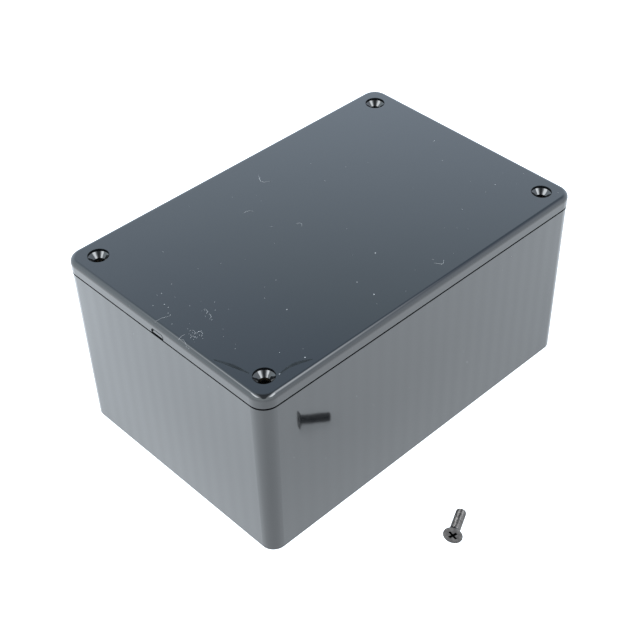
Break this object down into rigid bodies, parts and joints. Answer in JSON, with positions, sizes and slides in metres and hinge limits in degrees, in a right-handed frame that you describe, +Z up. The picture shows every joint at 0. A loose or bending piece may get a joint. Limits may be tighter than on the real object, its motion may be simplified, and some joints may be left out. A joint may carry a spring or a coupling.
{
  "type": "electronics enclosure",
  "caption": "Deep moulded plastic box for a circuit board, with a flat lap-jointed lid on countersunk screw holes, brass inserts in its corner posts and a loose lid screw.",
  "frame": {"origin": "centre of the box's flat underside", "axes": "+X along the long side, away from the lid's pry slot; +Y along the short side, away from the loose screw; +Z up through the lid"},
  "size_m": [0.12, 0.1126, 0.058],
  "materials": {
    "moulded_plastic": "black, glossy, lightly dusty",
    "blackened_steel": "blackened steel, satin",
    "brass": "turned brass"
  },
  "bodies": {
    "root": {"base_box": "moulded_plastic", "lid": "moulded_plastic", "lid_screw": "blackened_steel", "threaded_insert_left_front": "brass", "threaded_insert_left_back": "brass", "threaded_insert_right_front": "brass", "threaded_insert_right_back": "brass"}
  },
  "joints": []
}
